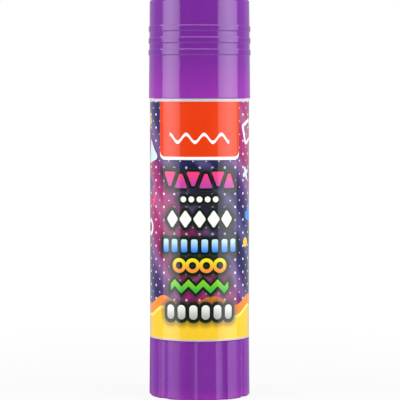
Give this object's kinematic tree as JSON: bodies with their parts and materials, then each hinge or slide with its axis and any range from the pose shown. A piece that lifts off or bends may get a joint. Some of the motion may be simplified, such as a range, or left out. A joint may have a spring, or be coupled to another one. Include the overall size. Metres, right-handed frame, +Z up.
{
  "type": "twist-up glue stick",
  "caption": "Slim round twist-up glue stick: purple pull-off cap with raised grip rings, white tube in a glossy printed label, fluted purple turning knob, screw-driven carrier and purple glue.",
  "frame": {"origin": "centre of the base, on the surface that the turning knob stands on", "axes": "+Z up the stick's axis, towards the cap; -Y is the label's front"},
  "size_m": [0.0252, 0.0252, 0.098],
  "materials": {
    "purple_plastic": "glossy moulded polypropylene",
    "white_plastic": "semi-gloss moulded polypropylene",
    "printed_label": "printed film with a clear gloss laminate",
    "glue": "waxy, slightly translucent glue",
    "soft_liner": "natural soft polyethylene",
    "soft_seal": "soft grey elastomer"
  },
  "bodies": {
    "barrel": {"barrel": "white_plastic", "label_wrap": "printed_label", "spindle_seal": "soft_seal"},
    "knob": {"turning_knob": "purple_plastic", "screw_spindle": "white_plastic"},
    "carrier": {"carrier_cup": "white_plastic", "glue_stick": "glue"},
    "cap": {"cap_shell": "purple_plastic", "cap_liner": "soft_liner"}
  },
  "joints": [
    {"name": "knob_turn", "type": "hinge", "parent": "barrel", "child": "knob", "pos_m": [0, 0, 0], "axis": [0, 0, 1], "range_deg": [0, 5400]},
    {"name": "carrier_rise", "type": "slide", "parent": "barrel", "child": "carrier", "axis": [0, 0, 1], "range_m": [0, 0.06]},
    {"name": "cap_pull", "type": "slide", "parent": "carrier", "child": "cap", "axis": [0, 0, 1], "range_m": [0, 0.03]}
  ],
  "couplings": [
    {"joint": "knob_turn", "follows": "carrier_rise", "rad_per_m": 1570.8}
  ]
}
